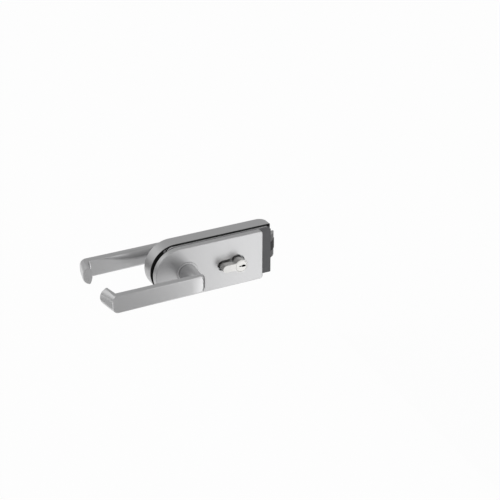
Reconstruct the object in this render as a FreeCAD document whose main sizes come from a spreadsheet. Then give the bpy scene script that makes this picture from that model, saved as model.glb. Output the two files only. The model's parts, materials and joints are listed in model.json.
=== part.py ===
import FreeCAD, Part
import math
import os
from types import SimpleNamespace
import Sketcher

# Lever lock for a glass door leaf: a flat lock case stands in a notch of the glass and is
# covered on both faces by D-shaped metal covers, with a lever handle on each side, a sprung
# latch, a deadbolt and a double cylinder.
#
# Frame: the origin is where the lever axis meets the middle plane of the glass. X runs towards
# the latch, Y from the front cover to the back cover, Z up. All lengths are in millimetres.

Vector = FreeCAD.Vector
Placement = FreeCAD.Placement
Rotation = FreeCAD.Rotation

DRIVING_SIZES = {
    # glass and covers
    "glass_gap": 8.0,
    "cover_height": 65.0,
    "cover_left": 41.5,
    "front_cover_right": 101.5,
    "front_cover_depth": 7.2,
    "front_corner": 4.0,
    "back_cover_right": 119.0,
    "back_cover_depth": 19.0,
    "back_end_round": 10.0,
    "cover_wall": 2.0,
    "cover_edge": 1.2,
    "cover_clearance": 0.3,
    # clamping plates and pads
    "pad_thickness": 1.0,
    "plate_thickness": 3.0,
    "clamp_screw_radius": 2.0,
    "clamp_screw_head": 2.0,
    "clamp_screw_margin": 9.1,
    "clamp_screw_left": 8.0,
    "clamp_screw_middle": 34.0,
    "clamp_screw_right": 92.0,
    "boss_wall": 1.4,
    "cover_screw_radius": 1.25,
    "cover_screw_head": 0.9,
    "cover_screw_left": 8.0,
    "cover_screw_right": 86.0,
    # lock case
    "case_left": 17.8,
    "case_right": 116.0,
    "case_margin": 4.0,
    "case_depth": 17.0,
    "case_wall": 1.2,
    "case_back_wall": 1.5,
    "case_corner": 1.2,
    "flange_thickness": 1.5,
    "lid_margin": 2.8,
    "lid_corner": 1.0,
    "frame_left": 24.0,
    "frame_right": 115.6,
    "frame_margin": 1.5,
    "frame_left_corner": 12.0,
    "frame_right_corner": 3.0,
    "wing_right": 114.0,
    # double cylinder
    "bolt_plane": 7.4,
    "cylinder_x": 66.3,
    "cylinder_drop": 2.0,
    "cylinder_length": 60.0,
    "profile_height": 33.0,
    "profile_round": 17.0,
    "profile_width": 10.0,
    "profile_clearance": 0.25,
    "cover_profile_gap": 1.9,
    "plug_radius": 7.3,
    "plug_chamfer": 0.35,
    "keyway_wide": 3.0,
    "keyway_narrow": 1.3,
    "keyway_reach": 5.6,
    "cam_width": 9.6,
    "cam_hub_radius": 8.4,
    "cam_gap": 0.6,
    "cam_tooth_width": 6.0,
    "cam_pin_radius": 4.0,
    "cylinder_screw_radius": 2.5,
    "cylinder_screw_head": 4.2,
    "cylinder_screw_end": 1.5,
    # lever handles
    "lever_projection": 36.5,
    "lever_thickness": 8.7,
    "lever_end": 8.3,
    "lever_height": 23.7,
    "lever_tip_height": 22.3,
    "lever_reach": 109.9,
    "lever_edge": 0.8,
    "lever_neck_corner": 3.4,
    "lever_end_round": 5.2,
    "lever_end_corner": 5.2,
    "return_length": 26.0,
    "return_lean": 5.6,
    "return_corner": 4.0,
    "return_root": 8.3,
    "return_bulge": 8.2,
    "return_flat": 1.0,
    "return_inner_bulge": 3.4,
    "return_inner_round": 4.0,
    "neck_radius": 11.5,
    "neck_end_width": 8.1,
    "neck_end_height": 10.6,
    "neck_end_radius": 7.2,
    "journal_radius": 10.0,
    "journal_reach": 5.4,
    "bush_flange_radius": 13.6,
    "bush_flange": 1.5,
    "bush_radius": 12.4,
    "running_gap": 0.05,
    "ring_radius": 12.0,
    "ring_thickness": 1.0,
    "groove_depth": 0.8,
    "spindle_side": 8.0,
    "socket_depth": 22.0,
    "set_screw_radius": 2.5,
    "set_screw_offset": 11.0,
    "set_screw_key": 2.5,
    # follower, latch and deadbolt
    "hub_radius": 10.0,
    "front_spigot_radius": 9.0,
    "back_spigot_radius": 8.0,
    "side_gap": 0.3,
    "arm_width": 6.0,
    "arm_margin": 11.5,
    "arm_thickness": 4.0,
    "hook_gap": 0.5,
    "hook_width": 2.1,
    "link_thickness": 3.0,
    "link_height": 3.0,
    "link_gap": 0.6,
    "link_overlap": 6.0,
    "link_seat": 4.0,
    "bolt_spacing": 3.8,
    "latch_thickness": 12.0,
    "latch_back": 104.0,
    "latch_shoulder": 117.5,
    "latch_bevel": 10.9,
    "latch_nose": 2.0,
    "latch_window_gap": 0.3,
    "insert_height": 12.0,
    "insert_back": 108.0,
    "insert_proud": 0.7,
    "spring_radius": 2.2,
    "spring_wire": 0.8,
    "spring_turns": 7.0,
    "latch_spring_left": 22.0,
    "latch_spring_right": 58.0,
    "spring_lug": 2.0,
    "return_wire": 1.4,
    "return_turns": 2.0,
    "deadbolt_height": 9.2,
    "deadbolt_thickness": 10.0,
    "deadbolt_back": 58.0,
    "deadbolt_throw": 12.0,
    "deadbolt_inset": 0.6,
    "guide_pin_radius": 2.0,
    "guide_pin_x": 90.0,
}

doc = FreeCAD.newDocument("glass_door_lever_lock")
sheet = doc.addObject("Spreadsheet::Sheet", "sizes")
for row, (alias, value) in enumerate(DRIVING_SIZES.items(), start=1):
    sheet.set(f"A{row}", alias)
    sheet.set(f"B{row}", str(value))
    sheet.setAlias(f"B{row}", alias)
doc.recompute()


class Size:
    """A length, known as a number and as the sheet formula that gives it."""

    def __init__(self, number, formula):
        self.number = number
        self.formula = formula

    def _with(self, other, sign, number, swapped=False):
        first, second = (as_size(other), self) if swapped else (self, as_size(other))
        return Size(number, f"({first.formula} {sign} {second.formula})")

    def __add__(self, other):
        return self._with(other, "+", self.number + number_of(other))

    def __radd__(self, other):
        return self + other

    def __sub__(self, other):
        return self._with(other, "-", self.number - number_of(other))

    def __rsub__(self, other):
        return self._with(other, "-", number_of(other) - self.number, swapped=True)

    def __mul__(self, other):
        return self._with(other, "*", self.number * number_of(other))

    def __rmul__(self, other):
        return self * other

    def __truediv__(self, other):
        return self._with(other, "/", self.number / number_of(other))

    def __neg__(self):
        return Size(-self.number, f"(0 - {self.formula})")


def number_of(value):
    return value.number if isinstance(value, Size) else float(value)


def as_size(value):
    return value if isinstance(value, Size) else Size(float(value), repr(float(value)))


def root(size):
    return Size(math.sqrt(size.number), f"sqrt({size.formula})")


def bind(obj, path, value):
    """Tie one property of a document object to its sheet formula."""
    obj.setExpression(path, as_size(value).formula)


s = SimpleNamespace(**{alias: Size(float(sheet.get(alias)), f"sizes.{alias}") for alias in DRIVING_SIZES})

# Levels along Y, from front to back
glass_front = -s.glass_gap / 2
glass_back = s.glass_gap / 2
front_face = glass_front - s.front_cover_depth
front_inside = front_face + s.cover_wall
front_plate_back = glass_front - s.pad_thickness
front_plate_front = front_plate_back - s.plate_thickness
case_front = as_size(0.0)
case_back = case_front + s.case_depth
case_inside = case_back - s.case_back_wall
wing_front = glass_back + s.pad_thickness
wing_back = wing_front + s.plate_thickness
flange_back = wing_back + s.flange_thickness
back_face = glass_back + s.back_cover_depth
back_inside = back_face - s.cover_wall
cylinder_front = s.bolt_plane - s.cylinder_length / 2
cylinder_back = s.bolt_plane + s.cylinder_length / 2
cam_front = s.bolt_plane - s.cam_width / 2
cam_back = s.bolt_plane + s.cam_width / 2
latch_front = s.bolt_plane - s.latch_thickness / 2
latch_rear = s.bolt_plane + s.latch_thickness / 2
deadbolt_front = s.bolt_plane - s.deadbolt_thickness / 2
deadbolt_rear = s.bolt_plane + s.deadbolt_thickness / 2

# Levels along Z
cover_half = s.cover_height / 2
inner_half = cover_half - s.cover_wall
plate_half = inner_half - s.cover_clearance
frame_half = cover_half - s.frame_margin
lid_half = cover_half - s.lid_margin
case_half = cover_half - s.case_margin
cavity_half = case_half - s.case_wall
clamp_screw_z = cover_half - s.clamp_screw_margin
cylinder_z = -s.cylinder_drop
arm_top = cavity_half - s.arm_margin
link_bottom = arm_top + s.link_gap
link_top = link_bottom + s.link_height
deadbolt_bottom = -cavity_half + s.latch_window_gap
deadbolt_top = deadbolt_bottom + s.deadbolt_height
cam_reach = cylinder_z - deadbolt_top - s.cam_gap
latch_top = link_bottom + s.link_gap
latch_bottom = deadbolt_top + s.bolt_spacing
insert_top = (latch_top + latch_bottom + s.insert_height) / 2
insert_bottom = insert_top - s.insert_height

# Levels along X
latch_tip = s.latch_shoulder + s.latch_bevel
link_right = s.latch_back + s.link_overlap

# Which way each origin plane's sketches face along their own axis
PLANE_NORMAL = {"XY": 1, "XZ": -1, "YZ": 1}
# How far apart two levels may be and still count as one, when edges are picked
FINE = 1e-4


def settle(feature):
    """Recompute, and stop at the first feature that fails."""
    doc.recompute()
    if "Invalid" in feature.State or "Error" in feature.State:
        raise RuntimeError(f"{feature.Name} failed: {feature.State}")
    return feature


def new_body(label):
    body = doc.addObject("PartDesign::Body", label)
    body.Label = label
    body.AllowCompound = True
    return body


def origin_plane(body, name):
    return next(o for o in body.Origin.OriginFeatures if o.Role == f"{name}_Plane")


def new_sketch(body, plane, level, outlines):
    """A sketch parallel to one origin plane, with each closed outline drawn in it."""
    sketch = body.newObject("Sketcher::SketchObject", f"{body.Label}_outline")
    sketch.AttachmentSupport = [(origin_plane(body, plane), "")]
    sketch.MapMode = "FlatFace"
    bind(sketch, "AttachmentOffset.Base.z", level * PLANE_NORMAL[plane])
    for outline in outlines:
        draw(sketch, outline)
    return sketch


def draw(sketch, outline):
    """Draw a circle, or a closed run of corners.

    A circle is (x, y, radius) by itself. A corner is (x, y), or (x, y, bend) where bend is the
    radius of the arc to the next corner: above zero it turns anticlockwise, below zero clockwise.
    """
    if isinstance(outline, tuple):
        draw_circle(sketch, *outline)
        return
    corners = [tuple(corner) + (None,) * (3 - len(corner)) for corner in outline]
    first = sketch.GeometryCount
    starts, ends = [], []
    for (x0, y0, bend), (x1, y1, _) in zip(corners, corners[1:] + corners[:1]):
        start = Vector(number_of(x0), number_of(y0), 0)
        end = Vector(number_of(x1), number_of(y1), 0)
        if bend is None:
            sketch.addGeometry(Part.LineSegment(start, end))
        else:
            sketch.addGeometry(arc_between(start, end, number_of(bend)))
        clockwise = bend is not None and number_of(bend) < 0
        starts.append(2 if clockwise else 1)
        ends.append(1 if clockwise else 2)
    count = len(corners)
    for i in range(count):
        after = (i + 1) % count
        joint = Sketcher.Constraint("Coincident", first + i, ends[i], first + after, starts[after])
        sketch.addConstraint(joint)
    for i, (x, y, bend) in enumerate(corners):
        hold(sketch, "DistanceX", (-1, 1, first + i, starts[i]), x)
        hold(sketch, "DistanceY", (-1, 1, first + i, starts[i]), y)
        if bend is not None:
            clockwise = number_of(bend) < 0
            hold(sketch, "Radius", (first + i,), -bend if clockwise else bend)


def draw_circle(sketch, x, y, radius):
    centre = Vector(number_of(x), number_of(y), 0)
    index = sketch.addGeometry(Part.Circle(centre, Vector(0, 0, 1), number_of(radius)))
    hold(sketch, "DistanceX", (-1, 1, index, 3), x)
    hold(sketch, "DistanceY", (-1, 1, index, 3), y)
    hold(sketch, "Radius", (index,), radius)


def arc_between(start, end, bend):
    """The arc of radius |bend| from start to end, on the side that the sign of bend says."""
    chord = end - start
    radius = abs(bend)
    rise = math.sqrt(max(radius**2 - chord.Length**2 / 4, 0.0))
    left = Vector(-chord.y, chord.x, 0).normalize()
    centre = (start + end) / 2 + left * math.copysign(rise, bend)
    if bend < 0:
        start, end = end, start
    first_angle = math.atan2(start.y - centre.y, start.x - centre.x)
    last_angle = math.atan2(end.y - centre.y, end.x - centre.x)
    return Part.ArcOfCircle(Part.Circle(centre, Vector(0, 0, 1), radius), first_angle, last_angle)


def hold(sketch, kind, elements, value):
    """Add one measured constraint and tie it to its sheet formula."""
    index = sketch.addConstraint(Sketcher.Constraint(kind, *elements, number_of(value)))
    name = f"{kind}_{index}"
    sketch.renameConstraint(index, name)
    bind(sketch, f"Constraints.{name}", value)


def add(body, plane, low, high, *outlines):
    """Pad the outlines from one level to a higher one."""
    sketch = new_sketch(body, plane, low, outlines)
    pad = body.newObject("PartDesign::Pad", f"{body.Label}_pad")
    pad.Profile = sketch
    pad.Reversed = PLANE_NORMAL[plane] < 0
    bind(pad, "Length", high - low)
    return settle(pad)


def cut(body, plane, low, high, *outlines):
    """Pocket the outlines from one level to a higher one."""
    before = body.Shape.Volume
    sketch = new_sketch(body, plane, low, outlines)
    pocket = body.newObject("PartDesign::Pocket", f"{body.Label}_pocket")
    pocket.Profile = sketch
    pocket.Reversed = PLANE_NORMAL[plane] > 0
    bind(pocket, "Length", high - low)
    settle(pocket)
    if not body.Shape.Volume < before:
        raise RuntimeError(f"a pocket in {body.Label} removed nothing")
    return pocket


def edges_where(body, test):
    """Names of the edges of the body's shape so far that pass the test."""
    return [f"Edge{i}" for i, edge in enumerate(body.Shape.Edges, start=1) if test(edge)]


def round_edges(body, radius, test):
    base = (body.Tip, edges_where(body, test))
    fillet = body.newObject("PartDesign::Fillet", f"{body.Label}_fillet")
    fillet.Base = base
    bind(fillet, "Radius", radius)
    return settle(fillet)


def chamfer_edges(body, size, test):
    base = (body.Tip, edges_where(body, test))
    chamfer = body.newObject("PartDesign::Chamfer", f"{body.Label}_chamfer")
    chamfer.Base = base
    bind(chamfer, "Size", size)
    return settle(chamfer)


def near(a, b):
    return abs(a - number_of(b)) < FINE


def in_plane(axis, level):
    """Test for an edge that lies wholly at one level along an axis."""
    def test(edge):
        box = edge.BoundBox
        return near(getattr(box, f"{axis}Min"), level) and near(getattr(box, f"{axis}Max"), level)
    return test


def both(first, second):
    return lambda edge: first(edge) and second(edge)


def either(first, second):
    return lambda edge: first(edge) or second(edge)


def block(left, right, bottom, top):
    return [(left, bottom), (right, bottom), (right, top), (left, top)]


def rounded_block(left, right, half, left_corner, right_corner):
    """A block centred on the X axis, with one corner radius at each end."""
    return [
        (left, -half + left_corner, left_corner),
        (left + left_corner, -half),
        (right - right_corner, -half, right_corner),
        (right, -half + right_corner),
        (right, half - right_corner, right_corner),
        (right - right_corner, half),
        (left + left_corner, half, left_corner),
        (left, half - left_corner),
    ]


def d_outline(inset, right, corner=None):
    """The covers' D: a full half circle at the left and a square or eased end at the right."""
    half = cover_half - inset
    left = inset - s.cover_left
    round_end = [(left + half, half, half), (left, as_size(0.0), half), (left + half, -half)]
    if corner is None:
        return round_end + [(right, -half), (right, half)]
    return round_end + [
        (right - corner, -half, corner),
        (right, -half + corner),
        (right, half - corner, corner),
        (right - corner, half),
    ]


def profile(grow):
    """The double cylinder's section, lying down with its tail to the left."""
    big = s.profile_round / 2 + grow
    small = s.profile_width / 2 + grow
    tail = s.cylinder_x - (s.profile_height - s.profile_round / 2 - s.profile_width / 2)
    neck = s.cylinder_x - root(big * big - small * small)
    return [
        (neck, cylinder_z + small),
        (tail, cylinder_z + small, small),
        (tail - small, cylinder_z, small),
        (tail, cylinder_z - small),
        (neck, cylinder_z - small, big),
        (s.cylinder_x + big, cylinder_z, big),
    ]


def oval(half_width, half_height, end_radius):
    """An upright oval of four tangent arcs, or a circle where all three sizes are equal."""
    lift = half_height - end_radius
    spare = half_width - end_radius
    shift = (lift * lift - spare * spare) / (2 * spare)
    side = half_width + shift
    across = (shift / (side - end_radius)) * side - shift
    up = (lift / (side - end_radius)) * side
    return [
        (across, -up, side),
        (across, up, end_radius),
        (-across, up, side),
        (-across, -up, end_radius),
    ]


def quartered_circle(radius):
    corner = radius / math.sqrt(2)
    return [
        (corner, -corner, radius),
        (corner, corner, radius),
        (-corner, corner, radius),
        (-corner, -corner, radius),
    ]


def square(side):
    return block(-side / 2, side / 2, -side / 2, side / 2)


clamp_screw_places = [
    (-s.clamp_screw_left, clamp_screw_z),
    (-s.clamp_screw_left, -clamp_screw_z),
    (s.clamp_screw_middle, -clamp_screw_z),
    (s.clamp_screw_right, clamp_screw_z),
]
cover_screw_places = [s.cover_screw_left, s.cover_screw_right]
cylinder_screw_x = s.cylinder_x - (s.profile_height - s.profile_round / 2 - s.profile_width / 2)


def screw_circles(radius):
    return [(x, z, radius) for x, z in clamp_screw_places]


# Covers


def make_front_cover():
    body = new_body("front_cover")
    add(body, "XZ", front_face, glass_front, d_outline(as_size(0.0), s.front_cover_right, s.front_corner))
    round_edges(body, s.cover_edge, in_plane("Y", front_face))
    inner_right = s.front_cover_right - s.cover_wall
    inner_corner = s.front_corner - s.cover_wall
    cut(body, "XZ", front_inside, glass_front, d_outline(s.cover_wall, inner_right, inner_corner))
    hole = (as_size(0.0), as_size(0.0), s.bush_radius + s.running_gap)
    cut(body, "XZ", front_face, front_inside, hole)
    cut(body, "XZ", front_face, front_inside, profile(s.cover_profile_gap))
    screw_level = (front_plate_front + front_plate_back) / 2
    cut_cover_screws(body, screw_level)


def make_back_cover():
    body = new_body("back_cover")
    right = s.back_cover_right
    inner_right = right - s.cover_wall
    add(body, "XZ", glass_back, back_face, d_outline(as_size(0.0), right))
    cut(body, "XZ", glass_back, back_inside, d_outline(s.cover_wall, inner_right))
    inner_end = both(in_plane("Y", back_inside), in_plane("X", inner_right))
    round_edges(body, s.back_end_round - s.cover_wall, inner_end)
    round_edges(body, s.back_end_round, both(in_plane("Y", back_face), in_plane("X", right)))
    round_edges(body, s.cover_edge, is_outer_edge_of_back_cover)
    hole = (as_size(0.0), as_size(0.0), s.bush_radius + s.running_gap)
    cut(body, "XZ", back_inside, back_face, hole)
    cut(body, "XZ", back_inside, back_face, profile(s.cover_profile_gap))
    cut(body, "XZ", glass_back, latch_rear + s.latch_window_gap, *end_windows(inner_right))
    cut_cover_screws(body, (wing_front + wing_back) / 2)


def is_outer_edge_of_back_cover(edge):
    """An edge of the rear face, or one that carries it on round the right end."""
    round_start = s.back_cover_right - s.back_end_round
    if in_plane("Y", back_face)(edge):
        return not in_plane("X", round_start)(edge)
    beside = in_plane("Z", cover_half)(edge) or in_plane("Z", -cover_half)(edge)
    at_end = edge.BoundBox.XMin > number_of(round_start) - FINE
    return beside and at_end and not in_plane("Y", glass_back)(edge)


def end_windows(wall_left):
    """Openings for the latch and the deadbolt through a wall at the right end."""
    gap = s.latch_window_gap
    left = wall_left - s.cover_wall
    right = s.back_cover_right + s.cover_wall
    return [
        block(left, right, latch_bottom - gap, latch_top + gap),
        block(left, right, deadbolt_bottom - gap, deadbolt_top + gap),
    ]


def cut_cover_screws(body, level):
    """Countersunk holes for the small screws up through the bottom wall of a cover."""
    circles = [(x, level, s.cover_screw_radius + s.running_gap) for x in cover_screw_places]
    cut(body, "XY", -cover_half, -inner_half, *circles)
    at_bottom = in_plane("Z", -cover_half)
    chamfer_edges(body, s.cover_screw_head, both(at_bottom, is_circle))


def is_circle(edge):
    return edge.Closed and isinstance(edge.Curve, Part.Circle)


# Clamping plates and pads


def make_front_plate():
    body = new_body("front_plate")
    right = s.front_cover_right - s.cover_wall - s.cover_clearance
    inset = s.cover_wall + s.cover_clearance
    outline = d_outline(inset, right, s.front_corner / 2)
    add(body, "XZ", front_plate_front, front_plate_back, outline)
    journal_hole = (as_size(0.0), as_size(0.0), s.ring_radius + s.pad_thickness)
    cut(body, "XZ", front_plate_front, front_plate_back, journal_hole)
    cut(body, "XZ", front_plate_front, front_plate_back, profile(s.profile_clearance * 2))
    circles = screw_circles(s.clamp_screw_radius + s.running_gap)
    cut(body, "XZ", front_plate_front, front_plate_back, *circles)
    small = both(is_circle, lambda edge: edge.Curve.Radius < number_of(s.journal_radius))
    chamfer_edges(body, s.clamp_screw_head, both(in_plane("Y", front_plate_front), small))
    level = (front_plate_front + front_plate_back) / 2
    circles = [(x, level, s.cover_screw_radius + s.running_gap) for x in cover_screw_places]
    cut(body, "XY", -plate_half, -plate_half + s.plate_thickness, *circles)


def make_pad(name, low, high):
    """A crescent pad: the part of the D that bears on the glass, left of the notch."""
    body = new_body(name)
    half = plate_half
    left = s.cover_wall + s.cover_clearance - s.cover_left
    edge = -s.frame_left
    run = left + half - edge
    reach = root(half * half - run * run)
    add(body, "XZ", low, high, [(edge, reach, half), (left, as_size(0.0), half), (edge, -reach)])


def make_mounting_frame():
    """A frame round the notch, with a D-shaped wing behind the glass."""
    body = new_body("mounting_frame")
    rim = rounded_block(
        -s.frame_left, s.frame_right, frame_half, s.frame_left_corner, s.frame_right_corner
    )
    add(body, "XZ", case_front, glass_back, rim)
    waist = rounded_block(
        -s.frame_left, s.wing_right, plate_half, s.frame_left_corner, s.frame_right_corner
    )
    add(body, "XZ", glass_back, wing_front, waist)
    inset = s.cover_wall + s.cover_clearance
    wing = d_outline(inset, s.wing_right, s.front_corner / 2)
    add(body, "XZ", wing_front, wing_back, wing)
    window = block(-s.case_left, s.frame_right + s.cover_wall, -case_half, case_half)
    cut(body, "XZ", case_front, wing_back, window)
    level = (wing_front + wing_back) / 2
    circles = [(x, level, s.cover_screw_radius + s.running_gap) for x in cover_screw_places]
    cut(body, "XY", -plate_half, -case_half, *circles)
    head_room = (cylinder_screw_x, s.bolt_plane, s.cylinder_screw_head + s.cover_clearance)
    cut(body, "XY", -frame_half, -case_half, head_room)


# Lock case


def make_lock_case():
    body = new_body("lock_case")
    add(body, "XZ", case_front, case_back, block(-s.case_left, s.case_right, -case_half, case_half))
    flange = rounded_block(
        -s.frame_left, s.wing_right, plate_half, s.frame_left_corner, s.frame_right_corner
    )
    add(body, "XZ", wing_back, flange_back, flange)
    left = s.case_wall - s.case_left
    right = s.case_right - s.case_wall
    cut(body, "XZ", case_front, case_inside, block(left, right, -cavity_half, cavity_half))
    round_edges(body, s.case_corner, both(in_plane("Y", case_back), in_plane("X", s.case_right)))
    bosses = screw_circles(s.clamp_screw_radius + s.boss_wall)
    guide_pin = (s.guide_pin_x, (deadbolt_top + deadbolt_bottom) / 2, s.guide_pin_radius)
    add(body, "XZ", case_front, case_inside, *bosses, guide_pin)
    thickness = s.link_thickness
    lug = block(s.latch_spring_left, s.latch_spring_left + s.spring_lug, link_top + s.link_gap, cavity_half)
    add(body, "XZ", s.bolt_plane - thickness, s.bolt_plane + thickness, lug)
    cut(body, "XZ", case_front, case_inside, *screw_circles(s.clamp_screw_radius + s.running_gap))
    follower_bore = (as_size(0.0), as_size(0.0), s.back_spigot_radius + s.running_gap)
    cut(body, "XZ", case_inside, case_back, follower_bore)
    cut(body, "XZ", case_inside, case_back, profile(s.profile_clearance))
    gap = s.latch_window_gap
    window = block(right - gap, s.case_right + gap, latch_bottom - gap, latch_top + gap)
    cut(body, "XZ", latch_front - gap, latch_rear + gap, window)
    window = block(right - gap, s.case_right + gap, deadbolt_bottom - gap, deadbolt_top + gap)
    cut(body, "XZ", deadbolt_front - gap, deadbolt_rear + gap, window)
    head_room = (cylinder_screw_x, s.bolt_plane, s.cylinder_screw_head + s.cover_clearance)
    cut(body, "XY", -plate_half, -case_half, head_room)
    screw_hole = (cylinder_screw_x, s.bolt_plane, s.cylinder_screw_radius + s.cover_clearance)
    cut(body, "XY", -case_half, -cavity_half, screw_hole)


def make_case_lid():
    body = new_body("case_lid")
    outline = rounded_block(
        -s.case_left, s.case_right, lid_half, s.lid_corner, s.lid_corner
    )
    add(body, "XZ", glass_front, case_front, outline)
    bore = (as_size(0.0), as_size(0.0), s.front_spigot_radius + s.running_gap)
    circles = screw_circles(s.clamp_screw_radius + s.cover_clearance)
    cut(body, "XZ", glass_front, case_front, bore, profile(s.profile_clearance), *circles)


# Screws


def countersunk_screw(name, radius, head, length):
    """A countersunk screw along +Y, with the top of its head at the origin."""
    body = new_body(name)
    profile_points = [
        (as_size(0.0), as_size(0.0)),
        (radius + head, as_size(0.0)),
        (radius, head),
        (radius, length),
        (as_size(0.0), length),
    ]
    sketch = new_sketch(body, "XY", as_size(0.0), [profile_points])
    turn = body.newObject("PartDesign::Revolution", f"{name}_turn")
    turn.Profile = sketch
    turn.ReferenceAxis = (sketch, ["V_Axis"])
    turn.Angle = 360
    settle(turn)
    cut(body, "XZ", as_size(0.0), head / 2, hexagon(radius * 0.75))
    return body


def hexagon(apothem):
    """A hexagon socket, with two of its sides level."""
    reach = apothem * (2 / math.sqrt(3))
    return [
        (reach, as_size(0.0)),
        (reach / 2, apothem),
        (-reach / 2, apothem),
        (-reach, as_size(0.0)),
        (-reach / 2, -apothem),
        (reach / 2, -apothem),
    ]


def group_of(name, pattern, places, rotation):
    """One node that holds a separate copy of the pattern piece at each place."""
    copies = []
    for x, y, z in places:
        copy = doc.addObject("App::Link", f"{name}_copy")
        copy.LinkedObject = pattern
        copy.Placement = Placement(Vector(0, 0, 0), rotation)
        bind(copy, "Placement.Base.x", x)
        bind(copy, "Placement.Base.y", y)
        bind(copy, "Placement.Base.z", z)
        copies.append(copy)
    compound = doc.addObject("Part::Compound", name)
    compound.Label = name
    compound.Links = copies
    settle(compound)


def make_clamp_screws():
    length = case_inside - front_plate_front - s.boss_wall
    pattern = countersunk_screw("clamp_screw_pattern", s.clamp_screw_radius, s.clamp_screw_head, length)
    places = [(x, front_plate_front, z) for x, z in clamp_screw_places]
    group_of("clamp_screws", pattern, places, Rotation())


def make_cover_screws():
    upwards = Rotation(Vector(1, 0, 0), 90)
    radius = s.cover_screw_radius
    length = cover_half - plate_half + s.plate_thickness - s.cover_clearance
    pattern = countersunk_screw("front_cover_screw_pattern", radius, s.cover_screw_head, length)
    level = (front_plate_front + front_plate_back) / 2
    group_of("front_cover_screws", pattern, [(x, level, -cover_half) for x in cover_screw_places], upwards)
    length = cover_half - case_half - s.cover_clearance
    pattern = countersunk_screw("back_cover_screw_pattern", radius, s.cover_screw_head, length)
    level = (wing_front + wing_back) / 2
    group_of("back_cover_screws", pattern, [(x, level, -cover_half) for x in cover_screw_places], upwards)


# Double cylinder


def make_cylinder_body():
    body = new_body("cylinder_body")
    add(body, "XZ", cylinder_front, cylinder_back, profile(as_size(0.0)))
    chamfer_edges(body, s.plug_chamfer, either(in_plane("Y", cylinder_front), in_plane("Y", cylinder_back)))
    bore = (s.cylinder_x, cylinder_z, s.plug_radius + s.running_gap)
    cut(body, "XZ", cylinder_front, cylinder_back, bore)
    gap = s.profile_clearance
    web_side = s.cylinder_x - cam_reach - 2 * gap
    right = s.cylinder_x + s.profile_round
    reach = s.profile_round / 2 + gap
    cam_slot = block(web_side, right, cylinder_z - reach, cylinder_z + reach)
    cut(body, "XZ", cam_front - gap, cam_back + gap, cam_slot)
    half_width = s.profile_width / 2
    screw_hole = (cylinder_screw_x, s.bolt_plane, s.cylinder_screw_radius + s.running_gap)
    cut(body, "XY", cylinder_z - half_width, cylinder_z + half_width, screw_hole)


def keyway():
    x = s.cylinder_x
    z = cylinder_z
    wide = s.keyway_wide / 2
    narrow = s.keyway_narrow / 2
    reach = s.keyway_reach
    return [
        (x - reach / 2, z - narrow),
        (x + narrow, z - narrow),
        (x + wide, z - wide),
        (x + reach, z - wide),
        (x + reach, z + narrow),
        (x + wide * 2, z + wide),
        (x + wide, z + wide),
        (x + narrow, z + narrow),
        (x - reach / 2, z + narrow),
    ]


def make_plug(name, outer, inner):
    """A plug that fills the bore from one end of the cylinder to the cam."""
    body = new_body(name)
    low, high = rising(outer, inner)
    add(body, "XZ", low, high, (s.cylinder_x, cylinder_z, s.plug_radius))
    chamfer_edges(body, s.plug_chamfer, in_plane("Y", outer))
    cut(body, "XZ", low, high, keyway())
    return body


def make_plugs():
    gap = s.profile_clearance
    body = make_plug("front_plug", cylinder_front, cam_front - gap)
    pin = (s.cylinder_x, cylinder_z, s.cam_pin_radius - s.running_gap)
    add(body, "XZ", cam_front - gap, cam_back - gap, pin)
    make_plug("back_plug", cylinder_back, cam_back + gap)


def make_cylinder_cam():
    body = new_body("cylinder_cam")
    add(body, "XZ", cam_front, cam_back, (s.cylinder_x, cylinder_z, s.cam_hub_radius))
    half = s.cam_tooth_width / 2
    tip = root(cam_reach * cam_reach - half * half)
    tooth = [
        (s.cylinder_x - half, cylinder_z - tip, cam_reach),
        (s.cylinder_x + half, cylinder_z - tip),
        (s.cylinder_x + half, cylinder_z),
        (s.cylinder_x - half, cylinder_z),
    ]
    add(body, "XZ", cam_front, cam_back, tooth)
    cut(body, "XZ", cam_front, cam_back, (s.cylinder_x, cylinder_z, s.cam_pin_radius))


def make_cylinder_screw():
    """The pan-head screw that holds the cylinder, up through the bottom of the case."""
    body = new_body("cylinder_screw")
    head_low = -plate_half + s.cover_clearance
    end = as_size(0.0) + s.cylinder_screw_end
    place = (cylinder_screw_x, s.bolt_plane)
    add(body, "XY", head_low, -case_half, (*place, s.cylinder_screw_head))
    add(body, "XY", -case_half, end, (*place, s.cylinder_screw_radius))
    socket = s.cylinder_screw_radius / 2
    left, right = place[0] - socket, place[0] + socket
    bottom, top = place[1] - socket, place[1] + socket
    cut(body, "XY", head_low, -case_half, block(left, right, bottom, top))


# Lever handles: each is made with the cover's face at Y = 0 and the handle towards -Y


def underside_of(side):
    """The piece for the back is turned over, so its underside is made at the top."""
    return -1 if side == "front" else 1


def rising(first, second):
    """Two levels in rising order."""
    return (first, second) if number_of(first) < number_of(second) else (second, first)


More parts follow.
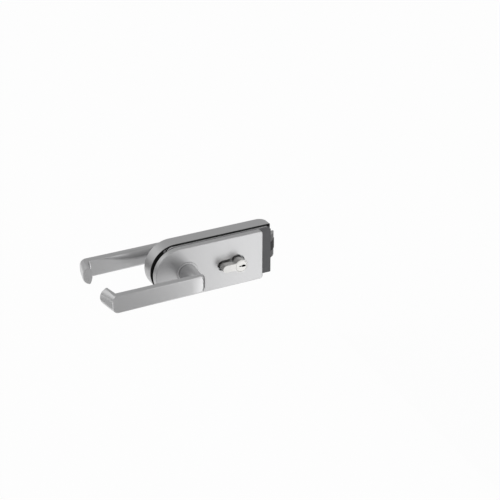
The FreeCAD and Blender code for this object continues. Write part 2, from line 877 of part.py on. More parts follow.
def make_lever(side):
    name = f"{side}_lever"
    body = new_body(name)
    outer = -s.lever_projection
    inner = outer + s.lever_thickness
    add_return(body, outer)
    add_handle(body, outer, inner)
    round_lever_end(body, outer, inner)
    round_edges(body, s.return_inner_round, both(in_plane("Y", inner), is_root_of_return))
    neck_base = -s.bush_flange - s.side_gap
    neck_top = inner - s.lever_neck_corner
    base_section = new_sketch(body, "XZ", neck_base, [quartered_circle(s.neck_radius)])
    top_outline = oval(s.neck_end_width, s.neck_end_height, s.neck_end_radius)
    join_sections(body, "neck", [base_section, new_sketch(body, "XZ", neck_top, [top_outline])])
    origin = as_size(0.0)
    add(body, "XZ", neck_base, s.journal_reach, (origin, origin, s.journal_radius))
    groove_low = s.cover_wall + s.pad_thickness + s.running_gap
    groove_high = groove_low + s.ring_thickness + 2 * s.running_gap
    groove = [(origin, origin, s.journal_radius - s.groove_depth), (origin, origin, s.bush_radius)]
    cut(body, "XZ", groove_low, groove_high, *groove)
    socket = square(s.spindle_side + 2 * s.running_gap)
    cut(body, "XZ", s.journal_reach - s.socket_depth, s.journal_reach, socket)
    screw_hole = (origin, -s.set_screw_offset, s.set_screw_radius + s.running_gap)
    down = underside_of(side)
    low, high = rising(down * (s.neck_radius + s.cover_wall), down * s.spindle_side / 2)
    cut(body, "XY", low, high, screw_hole)
    return body


def join_sections(body, name, sections):
    """One form lofted straight from section to section."""
    loft = body.newObject("PartDesign::AdditiveLoft", f"{body.Label}_{name}")
    loft.Profile = sections[0]
    loft.Sections = sections[1:]
    loft.Ruled = True
    return settle(loft)


def add_return(body, outer):
    """The return leans away from the handle and turns from a flat end into a pointed lens."""
    edge = s.lever_edge
    full = as_size(0.0)
    tip = outer + s.return_length
    outlines = [
        (outer, return_root(edge)),
        (outer + edge, return_root(full)),
        (tip - edge, return_tip(full)),
        (tip, return_tip(edge)),
    ]
    sections = [new_sketch(body, "XZ", level, [outline]) for level, outline in outlines]
    join_sections(body, "return", sections)


def return_root(inset):
    """The return's section at the handle: a flat end between two round corners."""
    half = s.lever_tip_height / 2 - inset
    left = inset - s.lever_reach
    right = s.return_root - s.lever_reach
    corner = s.return_corner - inset
    return [
        (right, half),
        (left + corner, half, corner),
        (left, half - corner),
        (left, corner - half, corner),
        (left + corner, -half),
        (right, -half),
    ]


def return_tip(inset):
    """The return's section at its end: a lens with a short flat at each point."""
    full = s.lever_tip_height / 2
    bulge = s.return_bulge
    inner_bulge = s.return_inner_bulge
    apex = -s.lever_reach - s.return_lean
    outer_radius = (full * full + bulge * bulge) / (2 * bulge)
    inner_radius = (full * full + inner_bulge * inner_bulge) / (2 * inner_bulge)
    middle = apex + outer_radius
    radius = outer_radius - inset
    half = full - inset
    point = middle - root(radius * radius - half * half)
    inside = apex + bulge + s.return_flat
    quarter = full / 2
    shoulder = middle - root(radius * radius - quarter * quarter)
    return [
        (inside, half),
        (point, half, radius),
        (shoulder, quarter, radius),
        (shoulder, -quarter, radius),
        (point, -half),
        (inside, -half, inner_radius),
    ]


def add_handle(body, outer, inner):
    """The handle is as crisp-edged as the return where they meet, and rounder towards the neck."""
    left = s.return_corner + s.lever_edge - s.lever_reach
    past_return = s.return_root + s.return_inner_round - s.lever_reach
    crisp = handle_section(outer, inner, s.lever_tip_height / 2, s.lever_edge, False)
    soft = handle_section(outer, inner, s.lever_height / 2, s.lever_neck_corner, True)
    outlines = [(left, crisp), (past_return, crisp), (s.lever_end, soft)]
    join_sections(body, "handle", [new_sketch(body, "YZ", x, [outline]) for x, outline in outlines])


def handle_section(outer, inner, half, corner, is_round):
    bend = (corner,) if is_round else ()
    return [
        (outer, corner - half, *bend),
        (outer + corner, -half),
        (inner - corner, -half, *bend),
        (inner, corner - half),
        (inner, half - corner, *bend),
        (inner - corner, half),
        (outer + corner, half, *bend),
        (outer, half - corner),
    ]


def is_root_of_return(edge):
    """The edge across the handle where the return leaves its inner face."""
    return edge.BoundBox.XMax < -number_of(s.lever_reach) / 2 and edge.BoundBox.ZMin < 0 < edge.BoundBox.ZMax


def round_lever_end(body, outer, inner):
    """Round the end over the neck, in side view and in plan."""
    end = s.lever_end
    corner = s.lever_end_corner
    reach = s.lever_height
    for side in (1, -1):
        z_edge = s.lever_height / 2 * side
        outline = [
            (end - corner, z_edge, -corner * side),
            (end, z_edge - corner * side),
            (end + corner, z_edge - corner * side),
            (end + corner, z_edge + corner * side),
            (end - corner, z_edge + corner * side),
        ]
        cut(body, "XZ", outer, inner, outline)
    plan = s.lever_end_round
    outline = [
        (end, outer + plan, -plan),
        (end - plan, outer),
        (end - plan, outer - plan),
        (end + plan, outer - plan),
        (end + plan, outer + plan),
    ]
    cut(body, "XY", -reach, reach, outline)


def place_on_cover(body, side, level):
    """Turn a piece made for the front to its own side, and seat it on that cover's face."""
    turn = Rotation() if side == "front" else Rotation(Vector(1, 0, 0), 180)
    body.Placement = Placement(Vector(0, 0, 0), turn)
    bind(body, "Placement.Base.y", level)


def make_bush(side):
    body = new_body(f"{side}_bush")
    origin = as_size(0.0)
    add(body, "XZ", -s.bush_flange, origin, (origin, origin, s.bush_flange_radius))
    round_edges(body, s.bush_flange / 2, in_plane("Y", -s.bush_flange))
    add(body, "XZ", origin, s.cover_wall + s.pad_thickness, (origin, origin, s.bush_radius))
    bore = (origin, origin, s.journal_radius + s.running_gap)
    cut(body, "XZ", -s.bush_flange, s.cover_wall + s.pad_thickness, bore)
    return body


def make_retaining_ring(side):
    """An open spring ring that snaps into the groove behind the bush."""
    body = new_body(f"{side}_retaining_ring")
    origin = as_size(0.0)
    low = s.cover_wall + s.pad_thickness + 2 * s.running_gap
    high = low + s.ring_thickness
    inner = s.journal_radius - s.groove_depth + s.running_gap
    add(body, "XZ", low, high, (origin, origin, s.ring_radius), (origin, origin, inner))
    opening = s.ring_radius / 4
    cut(body, "XZ", low, high, block(-opening, opening, inner / 2, s.ring_radius * 2))
    return body


def make_set_screw(side):
    """The hexagon-socket grub screw that locks a lever on its spindle."""
    body = new_body(f"{side}_set_screw")
    down = underside_of(side)
    head = down * (s.neck_end_height - s.cover_edge)
    point = down * (s.spindle_side / 2 + s.running_gap)
    place = (as_size(0.0), -s.set_screw_offset)
    add(body, "XY", *rising(head, point), (*place, s.set_screw_radius))
    key = [(x + place[0], y + place[1]) for x, y in hexagon(s.set_screw_key / 2)]
    cut(body, "XY", *rising(head, head - down * s.set_screw_key), key)
    return body


def make_lever_side(side, level):
    for make_piece in (make_lever, make_bush, make_retaining_ring, make_set_screw):
        place_on_cover(make_piece(side), side, level)


def make_lever_spindle():
    body = new_body("lever_spindle")
    depth = s.socket_depth - s.journal_reach - s.cover_clearance
    add(body, "XZ", front_face - depth, back_face + depth, square(s.spindle_side))


# Follower, latch and deadbolt


def make_follower():
    body = new_body("follower")
    origin = as_size(0.0)
    gap = s.side_gap
    add(body, "XZ", case_front + gap, case_inside - gap, (origin, origin, s.hub_radius))
    add(body, "XZ", glass_front + gap, case_front + gap, (origin, origin, s.front_spigot_radius))
    add(body, "XZ", case_inside - gap, case_back - gap, (origin, origin, s.back_spigot_radius))
    half = s.arm_width / 2
    arm = block(-half, half, origin, arm_top)
    add(body, "XZ", s.bolt_plane - s.arm_thickness / 2, s.bolt_plane + s.arm_thickness / 2, arm)
    socket = square(s.spindle_side + 2 * s.running_gap)
    cut(body, "XZ", glass_front + gap, case_back - gap, socket)


def latch_plan(back, proud):
    """The latch seen from above: straight at the back, with a rounded bevel at the front."""
    low = latch_front
    high = latch_rear
    tip = latch_tip + proud
    shoulder = s.latch_shoulder + proud
    run = tip - shoulder
    rise = high - s.latch_nose - low
    radius = (run * run + rise * rise) / rise
    return [
        (back, low),
        (shoulder, low, radius),
        (tip, high - s.latch_nose),
        (tip, high),
        (back, high),
    ]


def make_latch_bolt():
    body = new_body("latch_bolt")
    add(body, "XY", latch_bottom, latch_top, latch_plan(s.latch_back, as_size(0.0)))
    around = block(s.insert_back, latch_tip + s.latch_nose, latch_front, latch_rear)
    cut(body, "XY", insert_bottom, insert_top, around)
    gap = s.running_gap
    half = s.link_thickness / 2 + gap
    notch = block(s.latch_back, link_right + gap, latch_top - s.link_seat, latch_top)
    cut(body, "XZ", s.bolt_plane - half, s.bolt_plane + half, notch)


def make_latch_insert():
    body = new_body("latch_insert")
    add(body, "XY", insert_bottom, insert_top, latch_plan(s.insert_back, s.insert_proud))


def make_latch_link():
    """The flat bar from the follower's arm, over the cylinder, to the latch."""
    body = new_body("latch_link")
    hook_right = -s.arm_width / 2 - s.hook_gap
    hook_left = hook_right - s.hook_width
    hook_bottom = s.hub_radius + s.hook_width
    seat = latch_top - s.link_seat
    lug_right = s.latch_spring_right + s.spring_lug
    lug_top = cavity_half - s.link_gap
    outline = [
        (hook_left, hook_bottom),
        (hook_right, hook_bottom),
        (hook_right, link_bottom),
        (s.latch_back, link_bottom),
        (s.latch_back, seat),
        (link_right, seat),
        (link_right, link_top),
        (lug_right, link_top),
        (lug_right, lug_top),
        (s.latch_spring_right, lug_top),
        (s.latch_spring_right, link_top),
        (hook_left, link_top),
    ]
    half = s.link_thickness / 2
    add(body, "XZ", s.bolt_plane - half, s.bolt_plane + half, outline)


def make_deadbolt():
    body = new_body("deadbolt")
    front = s.case_right - s.deadbolt_inset
    outline = block(s.deadbolt_back, front, deadbolt_bottom, deadbolt_top)
    add(body, "XZ", deadbolt_front, deadbolt_rear, outline)
    round_edges(body, s.cover_edge, in_plane("X", front))
    half = s.guide_pin_radius + s.latch_window_gap
    middle = (deadbolt_top + deadbolt_bottom) / 2
    left = s.guide_pin_x - s.deadbolt_throw
    slot = [
        (left, middle + half, half),
        (left - half, middle, half),
        (left, middle - half),
        (s.guide_pin_x, middle - half, half),
        (s.guide_pin_x + half, middle, half),
        (s.guide_pin_x, middle + half),
    ]
    cut(body, "XZ", deadbolt_front, deadbolt_rear, slot)
    half = s.cam_tooth_width
    notch = block(
        s.cylinder_x - half, s.cylinder_x + half, deadbolt_top - s.guide_pin_radius, deadbolt_top
    )
    cut(body, "XZ", deadbolt_front, deadbolt_rear, notch)


def make_latch_spring():
    """The square-wire compression spring that pushes the link, and the latch with it, to the right."""
    body = new_body("latch_spring")
    half = s.spring_wire / 2
    origin = as_size(0.0)
    wire = block(origin, s.spring_wire, s.spring_radius - half, s.spring_radius + half)
    sketch = new_sketch(body, "XZ", origin, [wire])
    helix = body.newObject("PartDesign::AdditiveHelix", "latch_spring_helix")
    helix.Profile = sketch
    helix.ReferenceAxis = (sketch, ["H_Axis"])
    helix.Mode = "pitch-turns-angle"
    space = s.latch_spring_right - s.latch_spring_left - s.spring_lug
    bind(helix, "Pitch", (space - s.spring_wire) / s.spring_turns)
    bind(helix, "Turns", s.spring_turns)
    settle(helix)
    bind(body, "Placement.Base.x", s.latch_spring_left + s.spring_lug)
    bind(body, "Placement.Base.y", s.bolt_plane)
    bind(body, "Placement.Base.z", (link_top + cavity_half) / 2)


def make_return_spring():
    """The square-wire torsion spring round the follower that brings the levers back to level."""
    body = new_body("return_spring")
    origin = as_size(0.0)
    inner = s.hub_radius + s.return_wire / 2
    wire = block(inner, inner + s.return_wire, origin, s.return_wire)
    sketch = new_sketch(body, "XY", origin, [wire])
    helix = body.newObject("PartDesign::AdditiveHelix", "return_spring_helix")
    helix.Profile = sketch
    helix.ReferenceAxis = (sketch, ["V_Axis"])
    helix.Mode = "pitch-turns-angle"
    bind(helix, "Pitch", s.return_wire + s.cover_clearance)
    bind(helix, "Turns", s.return_turns)
    settle(helix)
    height = s.return_wire + (s.return_wire + s.cover_clearance) * s.return_turns
    bind(body, "Placement.Base.y", case_inside - height - s.side_gap)


def export_pieces():
    """Check every object, then write each sub-part's shape to its own file."""
    doc.recompute()
    for obj in doc.Objects:
        if "Invalid" in obj.State or "Error" in obj.State:
            raise RuntimeError(f"{obj.Label} failed: {obj.State}")
    os.makedirs("parts", exist_ok=True)
    for obj in doc.Objects:
        is_piece = obj.TypeId in ("PartDesign::Body", "Part::Compound")
        if not is_piece or obj.Label.endswith("_pattern"):
            continue
        if obj.Shape.isNull() or not obj.Shape.isValid():
            raise RuntimeError(f"{obj.Label} has no valid shape")
        obj.Shape.exportStep(os.path.join("parts", f"{obj.Label}.step"))


make_front_cover()
make_back_cover()
make_front_plate()
make_pad("front_pad", front_plate_back, glass_front)
make_pad("back_pad", glass_back, wing_front)
make_mounting_frame()
make_lock_case()
make_case_lid()
make_clamp_screws()
make_cover_screws()
make_cylinder_body()
make_plugs()
make_cylinder_cam()
make_cylinder_screw()
make_lever_side("front", front_face)
make_lever_side("back", back_face)
make_lever_spindle()
make_follower()
make_latch_bolt()
make_latch_insert()
make_latch_link()
make_deadbolt()
make_latch_spring()
make_return_spring()
export_pieces()
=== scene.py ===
import bpy
import bmesh
import json
import math
from mathutils import Matrix, Vector


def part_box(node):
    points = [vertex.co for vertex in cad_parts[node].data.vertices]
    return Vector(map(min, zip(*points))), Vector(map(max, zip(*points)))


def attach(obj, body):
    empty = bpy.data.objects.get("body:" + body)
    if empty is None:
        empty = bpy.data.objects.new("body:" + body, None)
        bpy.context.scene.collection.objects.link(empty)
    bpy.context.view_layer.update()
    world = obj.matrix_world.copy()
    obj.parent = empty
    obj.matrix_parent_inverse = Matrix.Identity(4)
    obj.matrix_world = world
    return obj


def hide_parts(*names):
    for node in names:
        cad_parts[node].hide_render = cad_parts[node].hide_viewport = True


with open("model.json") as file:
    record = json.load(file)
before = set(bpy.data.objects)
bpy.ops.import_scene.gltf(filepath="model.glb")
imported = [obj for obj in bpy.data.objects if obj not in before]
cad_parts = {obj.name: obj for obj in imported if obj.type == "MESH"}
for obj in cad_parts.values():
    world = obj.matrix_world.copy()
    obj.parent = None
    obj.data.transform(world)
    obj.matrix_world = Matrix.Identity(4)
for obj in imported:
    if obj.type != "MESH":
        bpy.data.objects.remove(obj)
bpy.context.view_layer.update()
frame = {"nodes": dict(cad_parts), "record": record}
MM = 0.001

# The camera stands where the photo was taken from, as azimuth and elevation round the lock.
# It aims to the right of the lever axis and above it. Its lens is in millimetres, on a 36 mm frame.
CAMERA_AZIMUTH = math.radians(-27.3)
CAMERA_ELEVATION = math.radians(26.65)
CAMERA_DISTANCE = 1485 * MM
CAMERA_ASIDE = 74.4 * MM
CAMERA_ABOVE = 26.7 * MM
CAMERA_LENS = 89.8
CAMERA_CLIP = 10 * MM
COVER_FACE = Vector((0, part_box("front_cover")[0].y, 0))

# A white floor well below the lock. Its share of plain white is what the camera and the metal see.
FLOOR_DROP = 350 * MM
FLOOR_SIZE = 12.0
FLOOR_GREY = 0.9
FLOOR_SEEN_SHARE = 0.97
WORLD_LEVEL = 0.46

# Grey cards that stand out of the picture, which the metal mirrors: centre and size in metres, grey
CARDS = {
    "front_left_card": ((-0.06, -0.3, -0.17), (0.32, 0.4), 0.95),
    "left_card": ((-0.35, -0.4, -0.18), (0.26, 0.36), 0.3),
    "right_card": ((0.45, -0.02, -0.22), (0.62, 0.34), 0.45),
    "back_left_card": ((-0.42, 0.36, -0.24), (0.3, 0.3), 0.8),
}
CARD_ROUGHNESS = 0.9

# Lamps: centre and size in metres, power in watts
LAMPS = {
    "side_card": ((0.262, -0.32, -0.2), (0.09, 0.34), 0.095),
    "front_strip": ((0.21, -0.4, 0.15), (0.22, 0.22), 0.16),
    "back_softbox": ((-0.9, 0.9, 0.9), (1.0, 1.0), 1.8),
}

# The grain of every finish: fine grains, which also stand up as relief, over wide clouds of tone
FINE_GRAINS = 3000.0
GRAIN_PART = 0.6
CLOUDS_PER_METRE = 28.0
CLOUD_PART = 0.4
TONE_SPREAD = 0.06
ROUGHNESS_SPREAD = 0.06
RELIEF = 0.01 * MM
RELIEF_STRENGTH = 0.35

# The soft upper edge of a lever's inner side. Below it the side is flat, up to a height that falls
# from the first X to the second. The edge fades out between the last two.
SOFT_FROM_X = -98 * MM
NARROW_X = -40 * MM
HANDLE_END_X = -24 * MM
NECK_X = -14 * MM
FLAT_AT_TIP = 9 * MM
FLAT_AT_NECK = -2 * MM
SOFT_RADIUS = 16 * MM
FACING_INWARDS = 0.5

# The outer face of a lever is crowned across its width and bends back towards the neck end
HANDLE_THICKNESS = 8.7 * MM
CROWN_RADIUS = 150 * MM
BEND_START = -12 * MM
BEND_RADIUS = 110 * MM

# The corners of a lever in front view, at its neck end and at its tip: the radius in the solid and
# the radius that they get. Half is half the lever's width there.
END_X = 8.3 * MM
END_HALF = 11.85 * MM
END_CORNER = (0, 7.0 * MM)
TIP_X = -109.9 * MM
TIP_HALF = 11.15 * MM
TIP_CORNER = (4.0 * MM, 8.0 * MM)

# How deep the round of the neck end goes and over what depth it fades, in thicknesses of the handle
END_ROUND_DEPTH = 1.25
END_ROUND_FADE = 0.5

# The return reaches back from the tip by this length, and leans outwards by this much over it
RETURN_LENGTH = 26.0 * MM
RETURN_LEAN = 5.6 * MM

# Where the lever's faces are cut, so that they can follow the crown, the bend and the rounds
CUTS_ACROSS = [z * MM for z in range(-11, 12)]
CUTS_ALONG = [x * MM for x in (*range(-112, -101), *range(-12, 9))]

# Pieces that can be seen from outside, which get a merged and smoothly shaded surface
SEEN = [
    "front_cover", "back_cover", "front_lever", "back_lever", "front_bush", "back_bush",
    "cylinder_body", "front_plug", "back_plug", "case_lid", "mounting_frame", "latch_bolt",
    "latch_insert", "lock_case", "front_plate", "front_cover_screws", "back_cover_screws",
    "front_set_screw", "back_set_screw", "deadbolt", "front_pad", "back_pad",
]
SMOOTH_ANGLE = math.radians(32)
WELD = 0.002 * MM

# The rims of these covers lie along the glass and get painted shade: a dark strip where the gap
# beside the glass is in shade
RIMS_WITH_PAINTED_SHADE = ("front_cover", "back_cover")
GLASS_HALF = 4 * MM
FACING_GLASS = 0.99

SLOTS = {entry["node"]: entry["material_slot"] for entry in frame["record"]["subparts"]}
BODIES = {
    node: body for body, nodes in frame["record"]["behaviour"]["bodies"].items() for node in nodes
}


# Camera, floor, world, cards and lamps


def make_camera():
    """A long lens that looks down on the covers from the left."""
    az, el = CAMERA_AZIMUTH, CAMERA_ELEVATION
    right = Vector((math.cos(az), math.sin(az), 0))
    back = Vector((math.sin(az) * math.cos(el), -math.cos(az) * math.cos(el), math.sin(el)))
    up = back.cross(right)
    camera = bpy.data.objects.new("camera", bpy.data.cameras.new("camera"))
    camera.data.lens = CAMERA_LENS
    camera.data.clip_start = CAMERA_CLIP
    place = COVER_FACE + right * CAMERA_ASIDE + up * CAMERA_ABOVE + back * CAMERA_DISTANCE
    turn = Matrix((right, up, back)).transposed().to_4x4()
    camera.matrix_world = Matrix.Translation(place) @ turn
    bpy.context.scene.collection.objects.link(camera)
    bpy.context.scene.camera = camera


def make_sheet(name, width, depth):
    """A flat sheet centred on the origin, facing up."""
    mesh = bpy.data.meshes.new(name)
    corners = [(-1, -1), (1, -1), (1, 1), (-1, 1)]
    mesh.from_pydata([(x * width / 2, y * depth / 2, 0) for x, y in corners], [], [(0, 1, 2, 3)])
    sheet = bpy.data.objects.new(name, mesh)
    bpy.context.scene.collection.objects.link(sheet)
    return sheet


def new_material(name):
    """An empty material with its node tree."""
    material = bpy.data.materials.new(name)
    material.use_nodes = True
    return material, material.node_tree


def make_floor():
    """A wide white floor below the lock, which hangs in the air as it would on its glass."""
    floor = make_sheet("floor", FLOOR_SIZE, FLOOR_SIZE)
    floor.location.z = -FLOOR_DROP
    material, tree = new_material("white_floor")
    tree.nodes.clear()
    paper = tree.nodes.new("ShaderNodeBsdfDiffuse")
    paper.inputs["Color"].default_value = (*grey(FLOOR_GREY), 1)
    glow = tree.nodes.new("ShaderNodeEmission")
    glow.inputs["Color"].default_value = (*grey(1.0), 1)
    glow.inputs["Strength"].default_value = 1.0
    mix = tree.nodes.new("ShaderNodeMixShader")
    output = tree.nodes.new("ShaderNodeOutputMaterial")
    tree.links.new(seen_share(tree, FLOOR_SEEN_SHARE), mix.inputs[0])
    tree.links.new(paper.outputs[0], mix.inputs[1])
    tree.links.new(glow.outputs[0], mix.inputs[2])
    tree.links.new(mix.outputs[0], output.inputs["Surface"])
    floor.data.materials.append(material)


def seen_share(tree, share):
    """The given share for camera, glossy and transmission rays, and 0 for all others."""
    path = tree.nodes.new("ShaderNodeLightPath")
    seen = path.outputs["Is Camera Ray"]
    for ray in ("Is Glossy Ray", "Is Transmission Ray"):
        seen = maths(tree, "MAXIMUM", seen, path.outputs[ray])
    return maths(tree, "MULTIPLY", seen, share)


def make_world():
    world = bpy.data.worlds.new("studio")
    bpy.context.scene.world = world
    world.use_nodes = True
    world.node_tree.nodes["Background"].inputs["Color"].default_value = (*grey(WORLD_LEVEL), 1)


def facing_lock(place):
    """Where a card or a lamp stands, with its back to +Z, so that a lamp shines at the lock."""
    return Matrix.Translation(place) @ Vector(place).to_track_quat("Z", "Y").to_matrix().to_4x4()


def make_cards():
    for name, (place, size, level) in CARDS.items():
        card = make_sheet(name, *size)
        card.matrix_world = facing_lock(place)
        card.visible_camera = False
        material, tree = new_material(name)
        surface = tree.nodes["Principled BSDF"]
        surface.inputs["Base Color"].default_value = (*grey(level), 1)
        surface.inputs["Roughness"].default_value = CARD_ROUGHNESS
        card.data.materials.append(material)


def make_lamps():
    for name, (place, size, power) in LAMPS.items():
        lamp = bpy.data.lights.new(name, "AREA")
        lamp.shape = "RECTANGLE"
        lamp.size, lamp.size_y = size
        lamp.energy = power
        holder = bpy.data.objects.new(name, lamp)
        holder.matrix_world = facing_lock(place)
        holder.visible_camera = False
        bpy.context.scene.collection.objects.link(holder)


# Nodes and shared groups


NUMBER, COLOUR, VECTOR = "NodeSocketFloat", "NodeSocketColor", "NodeSocketVector"


def grey(level):
    return (level, level, level)


def maths(tree, operation, *values):
    """The result of a Math node whose inputs are numbers or sockets."""
    node = tree.nodes.new("ShaderNodeMath")
    node.operation = operation
    for socket, value in zip(node.inputs, values):
        if isinstance(value, (int, float)):
            socket.default_value = value
        else:
            tree.links.new(value, socket)
    return node.outputs[0]


def mapped(tree, value, low, high):
    """A Map Range node over the values from low to high, which gives 0 to 1 unless it is told."""
    node = tree.nodes.new("ShaderNodeMapRange")
    node.inputs["From Min"].default_value = low
    node.inputs["From Max"].default_value = high
    tree.links.new(value, node.inputs["Value"])
    return node


def noise_at(tree, vector, detail, roughness):
    """A Noise Texture node at a vector, with its scale still to be given."""
    noise = tree.nodes.new("ShaderNodeTexNoise")
    noise.inputs["Detail"].default_value = detail
    noise.inputs["Roughness"].default_value = roughness
    tree.links.new(vector, noise.inputs["Vector"])
    return noise


def new_group(name, inputs, outputs):
    """A shader node group with named sockets. Each input is given with its default."""
    group = bpy.data.node_groups.new(name, "ShaderNodeTree")
    for socket_name, kind, default in inputs:
        socket = group.interface.new_socket(socket_name, in_out="INPUT", socket_type=kind)
        socket.default_value = default
    for socket_name, kind in outputs:
        group.interface.new_socket(socket_name, in_out="OUTPUT", socket_type=kind)
    return group, group.nodes.new("NodeGroupInput"), group.nodes.new("NodeGroupOutput")


def make_grain_group():
    """Fine blasted grain over slow clouds of tone, as on satin metal."""
    tree, given, result = new_group(
        "satin_grain",
        [
            ("Colour", COLOUR, (0.6, 0.6, 0.6, 1)),
            ("Tone Spread", NUMBER, TONE_SPREAD),
            ("Roughness", NUMBER, 0.35),
            ("Roughness Spread", NUMBER, ROUGHNESS_SPREAD),
            ("Grains per metre", NUMBER, FINE_GRAINS),
            ("Stretch", VECTOR, (1.0, 1.0, 1.0)),
        ],
        [("Colour", COLOUR), ("Roughness", NUMBER), ("Height", NUMBER)],
    )
    where = tree.nodes.new("ShaderNodeTexCoord").outputs["Object"]
    stretched = tree.nodes.new("ShaderNodeVectorMath")
    stretched.operation = "MULTIPLY"
    tree.links.new(where, stretched.inputs[0])
    tree.links.new(given.outputs["Stretch"], stretched.inputs[1])
    grain = noise_at(tree, stretched.outputs[0], detail=3.0, roughness=0.6)
    tree.links.new(given.outputs["Grains per metre"], grain.inputs["Scale"])
    clouds = noise_at(tree, where, detail=2.0, roughness=0.5)
    clouds.inputs["Scale"].default_value = CLOUDS_PER_METRE
    both = maths(
        tree,
        "ADD",
        maths(tree, "MULTIPLY", grain.outputs["Fac"], GRAIN_PART),
        maths(tree, "MULTIPLY", clouds.outputs["Fac"], CLOUD_PART),
    )
    centred = maths(tree, "SUBTRACT", both, 0.5)
    tone = maths(tree, "MULTIPLY_ADD", centred, given.outputs["Tone Spread"], 1.0)
    shade = tree.nodes.new("ShaderNodeVectorMath")
    shade.operation = "SCALE"
    tree.links.new(given.outputs["Colour"], shade.inputs[0])
    tree.links.new(tone, shade.inputs["Scale"])
    spread, roughness = given.outputs["Roughness Spread"], given.outputs["Roughness"]
    rough = maths(tree, "MULTIPLY_ADD", centred, spread, roughness)
    tree.links.new(shade.outputs[0], result.inputs["Colour"])
    tree.links.new(rough, result.inputs["Roughness"])
    tree.links.new(grain.outputs["Fac"], result.inputs["Height"])
    return tree


def make_softness_group():
    """The soft upper edge of a lever's inner side: how it falls away, and where it shows."""
    tree, given, result = new_group(
        "lever_softness",
        [
            ("Inner Side", NUMBER, 1.0),
            ("Flat at Tip", NUMBER, FLAT_AT_TIP),
            ("Flat at Neck", NUMBER, FLAT_AT_NECK),
            ("Radius", NUMBER, SOFT_RADIUS),
        ],
        [("Height", NUMBER), ("Share", NUMBER)],
    )
    where = tree.nodes.new("ShaderNodeSeparateXYZ")
    tree.links.new(tree.nodes.new("ShaderNodeTexCoord").outputs["Object"], where.inputs[0])
    facing = tree.nodes.new("ShaderNodeSeparateXYZ")
    tree.links.new(tree.nodes.new("ShaderNodeTexCoord").outputs["Normal"], facing.inputs[0])
    along, up = where.outputs["X"], where.outputs["Z"]
    flat = mapped(tree, along, SOFT_FROM_X, NARROW_X)
    tree.links.new(given.outputs["Flat at Tip"], flat.inputs["To Min"])
    tree.links.new(given.outputs["Flat at Neck"], flat.inputs["To Max"])
    beyond = maths(tree, "SUBTRACT", up, flat.outputs["Result"])
    beyond = maths(tree, "MAXIMUM", beyond, 0.0)
    twice_radius = maths(tree, "MULTIPLY", given.outputs["Radius"], -2.0)
    height = maths(tree, "DIVIDE", maths(tree, "MULTIPLY", beyond, beyond), twice_radius)
    tree.links.new(height, result.inputs["Height"])
    is_inner = maths(tree, "MULTIPLY", facing.outputs["Y"], given.outputs["Inner Side"])
    is_inner = maths(tree, "GREATER_THAN", is_inner, FACING_INWARDS)
    on_handle = mapped(tree, along, NECK_X, HANDLE_END_X).outputs["Result"]
    tree.links.new(maths(tree, "MULTIPLY", is_inner, on_handle), result.inputs["Share"])
    return tree


# Finishes


GRAIN = make_grain_group()
LEVER_SOFTNESS = make_softness_group()

SATIN = (0.645, 0.645, 0.65)
MILLED = (0.80, 0.80, 0.81)
ZINC = (0.50, 0.51, 0.52)
DARK_PAINT = (0.14, 0.14, 0.146)
NICKEL = (0.62, 0.615, 0.60)
LEVER_ROUGHNESS = 0.34


def make_finish(name, colour, roughness, metallic=1.0, grains=FINE_GRAINS, stretch=(1.0, 1.0, 1.0)):
    """A grained surface. Below 1, a stretch draws the grain out along that axis."""
    material, tree = new_material(name)
    surface = tree.nodes["Principled BSDF"]
    grain = tree.nodes.new("ShaderNodeGroup")
    grain.node_tree = GRAIN
    grain.inputs["Colour"].default_value = (*colour, 1)
    grain.inputs["Roughness"].default_value = roughness
    grain.inputs["Grains per metre"].default_value = grains
    grain.inputs["Stretch"].default_value = stretch
    bump = tree.nodes.new("ShaderNodeBump")
    bump.name = "grain_bump"
    bump.inputs["Strength"].default_value = RELIEF_STRENGTH
    bump.inputs["Distance"].default_value = RELIEF
    tree.links.new(grain.outputs["Height"], bump.inputs["Height"])
    tree.links.new(grain.outputs["Colour"], surface.inputs["Base Color"])
    tree.links.new(grain.outputs["Roughness"], surface.inputs["Roughness"])
    tree.links.new(bump.outputs["Normal"], surface.inputs["Normal"])
    surface.inputs["Metallic"].default_value = metallic
    return material


def make_lever_finish(name, inner_side):
    """Satin aluminium with the soft edge of the lever's inner side under its grain.

    The inner side is 1 where it faces the back and -1 where it faces the front.
    """
    material = make_finish(name, SATIN, LEVER_ROUGHNESS)
    tree = material.node_tree
    softness = tree.nodes.new("ShaderNodeGroup")
    softness.node_tree = LEVER_SOFTNESS
    softness.inputs["Inner Side"].default_value = inner_side
    bump = tree.nodes.new("ShaderNodeBump")
    bump.inputs["Distance"].default_value = 1.0
    tree.links.new(softness.outputs["Height"], bump.inputs["Height"])
    tree.links.new(softness.outputs["Share"], bump.inputs["Strength"])
    tree.links.new(bump.outputs["Normal"], tree.nodes["grain_bump"].inputs["Normal"])
    return material


FINISHES = {
    "satin_aluminium": make_finish("satin_aluminium", SATIN, 0.42),
    "frame_aluminium": make_finish("milled_aluminium", MILLED, 0.26, stretch=(0.05, 1.0, 1.0)),
    "plate_steel": make_finish("zinc_plated_sheet", ZINC, 0.36, grains=400.0),
    "dark_paint": make_finish("dark_grey_paint", DARK_PAINT, 0.48, metallic=0.0, grains=1500.0),
    "pad_rubber": make_finish("pad_rubber", grey(0.02), 0.85, metallic=0.0, grains=1200.0),
    "screw_steel": make_finish("screw_steel", grey(0.52), 0.28),
    "nickel_brass": make_finish("satin_nickel", NICKEL, 0.28),
    "cam_steel": make_finish("plain_steel", grey(0.42), 0.34, grains=900.0),
    "latch_metal": make_finish("latch_nickel", grey(0.52), 0.32),
    "dark_plastic": make_finish("dark_plastic", grey(0.06), 0.42, metallic=0.0, grains=1500.0),
    "spring_steel": make_finish("spring_steel", grey(0.34), 0.26),
}

LEVER_FINISHES = {
    "front_lever": make_lever_finish("front_lever_aluminium", 1.0),
    "back_lever": make_lever_finish("back_lever_aluminium", -1.0),
}


# Levers


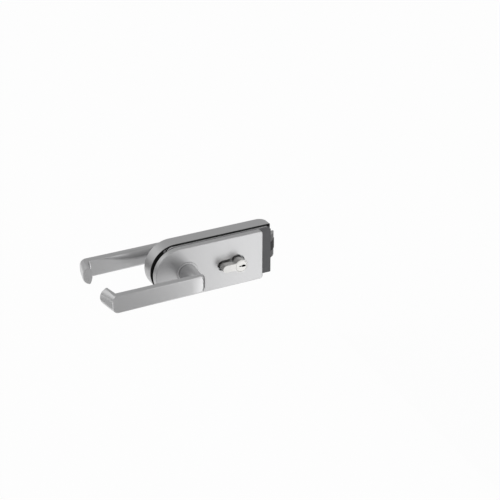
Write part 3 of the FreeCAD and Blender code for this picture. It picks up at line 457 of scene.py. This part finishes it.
def cut_lever(lever):
    """Cut the lever's faces into strips, across its handle and along its two ends."""
    for cuts, across in ((CUTS_ACROSS, Vector((0, 0, 1))), (CUTS_ALONG, Vector((1, 0, 0)))):
        for cut in cuts:
            pieces = lever.verts[:] + lever.edges[:] + lever.faces[:]
            bmesh.ops.bisect_plane(
                lever, geom=pieces, plane_co=across * cut, plane_no=across, dist=WELD
            )


def crown_lever(lever, node):
    """Lower the lever's outer face to a gentle crown and bend, and round its corners.

    The outer face is the one farther from the glass, and inwards is the way to the glass along Y.
    """
    lowest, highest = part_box(node)
    outer, inwards = (lowest.y, 1) if lowest.y < -highest.y else (highest.y, -1)
    cut_lever(lever)
    for vertex in lever.verts:
        point = vertex.co
        depth = abs(point.y - outer)
        end_share = (END_ROUND_DEPTH - depth / HANDLE_THICKNESS) / END_ROUND_FADE
        round_end(point, 1, END_X, END_HALF, END_CORNER, end_share)
        along_return = min(depth / RETURN_LENGTH, 1)
        tip_x = TIP_X - RETURN_LEAN * along_return
        round_end(point, -1, tip_x, TIP_HALF, TIP_CORNER, 1 - along_return)
        past = max(point.x - BEND_START, 0)
        fall = point.z ** 2 / (2 * CROWN_RADIUS) + past ** 2 / (2 * BEND_RADIUS)
        point.y += inwards * fall * max(1 - depth / HANDLE_THICKNESS, 0)


def round_end(point, way, end_x, half, radii, share):
    """Draw a point near a corner onto a larger round, by a share of the way.

    The end of the lever is at end_x, and way is 1 where it is the right end and -1 at the left one.
    """
    present, radius = radii
    beyond_x = way * (point.x - end_x) + radius
    beyond_z = abs(point.z) - half + radius
    if beyond_x > 0 and beyond_z > 0 and share > 0:
        reach = corner_reach(math.atan2(beyond_z, beyond_x), present, radius)
        drawn = min(share, 1) * (1 - radius / reach)
        point.x -= way * beyond_x * drawn
        point.z -= math.copysign(beyond_z, point.z) * drawn


def corner_reach(angle, present, radius):
    """How far a corner of the present radius lies from the centre of a larger round."""
    middle = radius - present
    along, across = math.cos(angle), math.sin(angle)
    if min(along, across) * radius <= max(along, across) * middle:
        return radius / max(along, across)
    return middle * (along + across) + math.sqrt(present ** 2 - (middle * (along - across)) ** 2)


# Skins


def weld(node):
    """A copy of a CAD node's mesh, merged, crowned if it is a lever, and smooth between edges."""
    mesh = frame["nodes"][node].data.copy()
    mesh.name = f"{node}_skin"
    welded = bmesh.new()
    welded.from_mesh(mesh)
    bmesh.ops.remove_doubles(welded, verts=welded.verts, dist=WELD)
    if node in LEVER_FINISHES:
        crown_lever(welded, node)
    welded.to_mesh(mesh)
    welded.free()
    for name in [attribute.name for attribute in mesh.attributes if "normal" in attribute.name]:
        mesh.attributes.remove(mesh.attributes[name])
    mesh.shade_smooth()
    mesh.set_sharp_from_angle(angle=SMOOTH_ANGLE)
    return mesh


def even_normals(skin):
    """Weight a skin's normals by the size of its faces, and keep the result as a plain mesh."""
    skin.modifiers.new("even_normals", "WEIGHTED_NORMAL").keep_sharp = True
    finished = skin.evaluated_get(bpy.context.evaluated_depsgraph_get())
    mesh = bpy.data.meshes.new_from_object(finished)
    mesh.name = skin.name
    skin.modifiers.clear()
    skin.data = mesh


def make_skin(node):
    """A smooth skin with the same surface as a CAD node, which takes the node's place."""
    skin = bpy.data.objects.new(f"{node}_skin", weld(node))
    bpy.context.scene.collection.objects.link(skin)
    even_normals(skin)
    dress(skin, node)
    # Covers get painted shade, a dark strip, on their rims along the glass
    if node in RIMS_WITH_PAINTED_SHADE:
        paint_rim_shade(skin)
    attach(skin, BODIES[node])
    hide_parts(node)


def dress(piece, node):
    piece.data.materials.clear()
    piece.data.materials.append(LEVER_FINISHES.get(node, FINISHES[SLOTS[node]]))


def paint_rim_shade(skin):
    """Painted shade on a cover's rim along the glass: the rim faces take the dark rubber finish."""
    # The dark rubber finish stands in for the shade in the gap beside the glass
    skin.data.materials.append(FINISHES["pad_rubber"])
    for face in skin.data.polygons:
        at_glass = abs(abs(face.center.y) - GLASS_HALF) < WELD
        if at_glass and abs(face.normal.y) > FACING_GLASS:
            face.material_index = 1


def dress_nodes():
    for node, piece in frame["nodes"].items():
        if node in SEEN:
            make_skin(node)
        else:
            dress(piece, node)


bpy.context.scene.view_settings.view_transform = "Standard"
make_camera()
make_floor()
make_world()
make_cards()
make_lamps()
dress_nodes()
